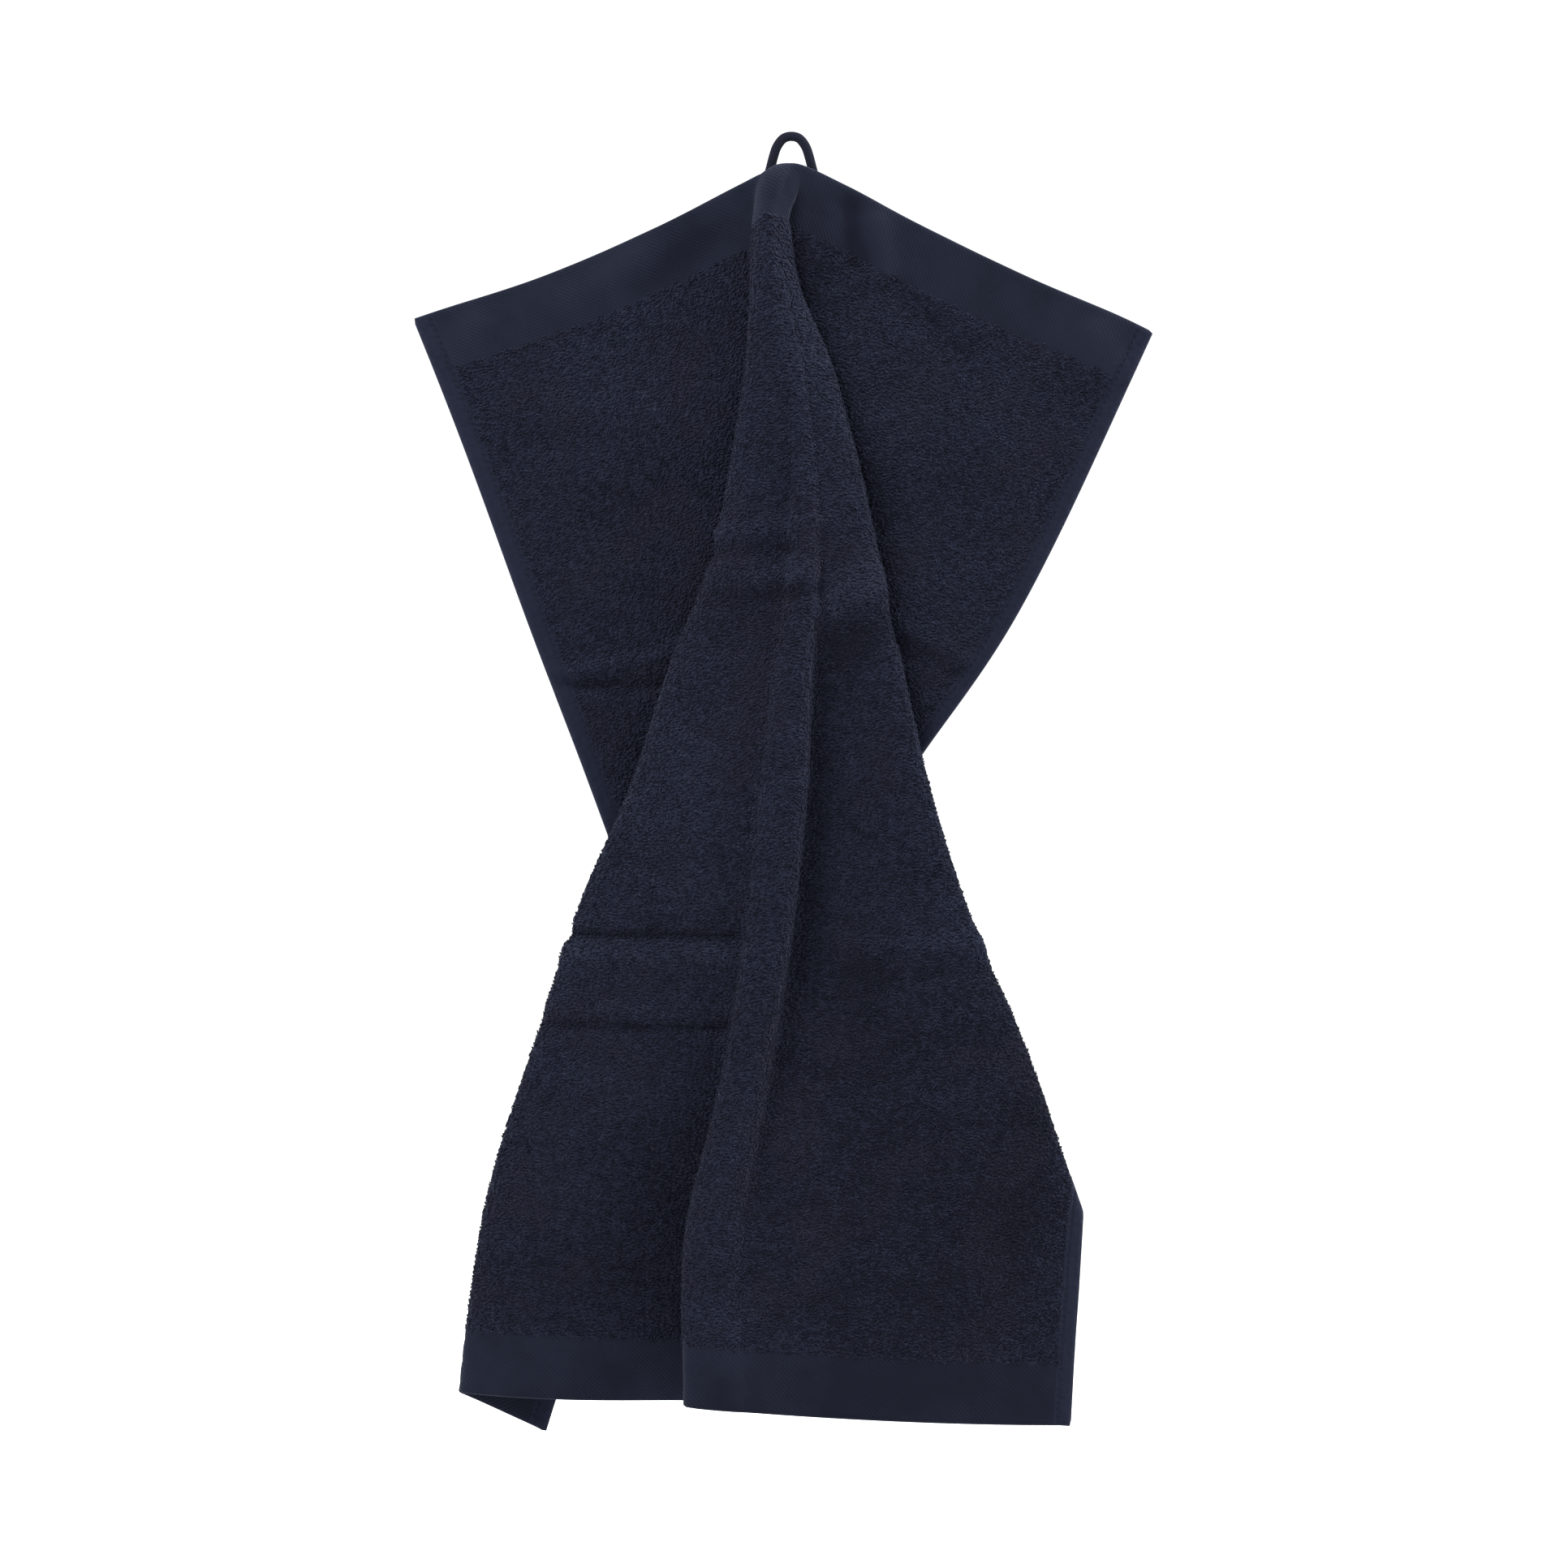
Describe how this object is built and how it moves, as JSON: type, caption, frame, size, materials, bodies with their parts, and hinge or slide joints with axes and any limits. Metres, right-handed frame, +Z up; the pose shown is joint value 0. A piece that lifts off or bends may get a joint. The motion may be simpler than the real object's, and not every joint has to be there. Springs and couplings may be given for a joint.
{
  "type": "hanging hand towel",
  "caption": "Small terry towel hanging in folds from a cord loop, with a flat woven band at each end and narrow side hems.",
  "frame": {"origin": "where a hook bears under the top of the cord loop", "axes": "+Z up, -Y towards the viewer of the towel's front, +X to that viewer's right"},
  "size_m": [0.3573, 0.0401, 0.6291],
  "materials": {
    "terry": "dark navy cotton terry with flat woven bands",
    "cord": "dark navy round cotton cord"
  },
  "bodies": {
    "root": {"towel": "terry", "hanging_loop": "cord"}
  },
  "joints": []
}
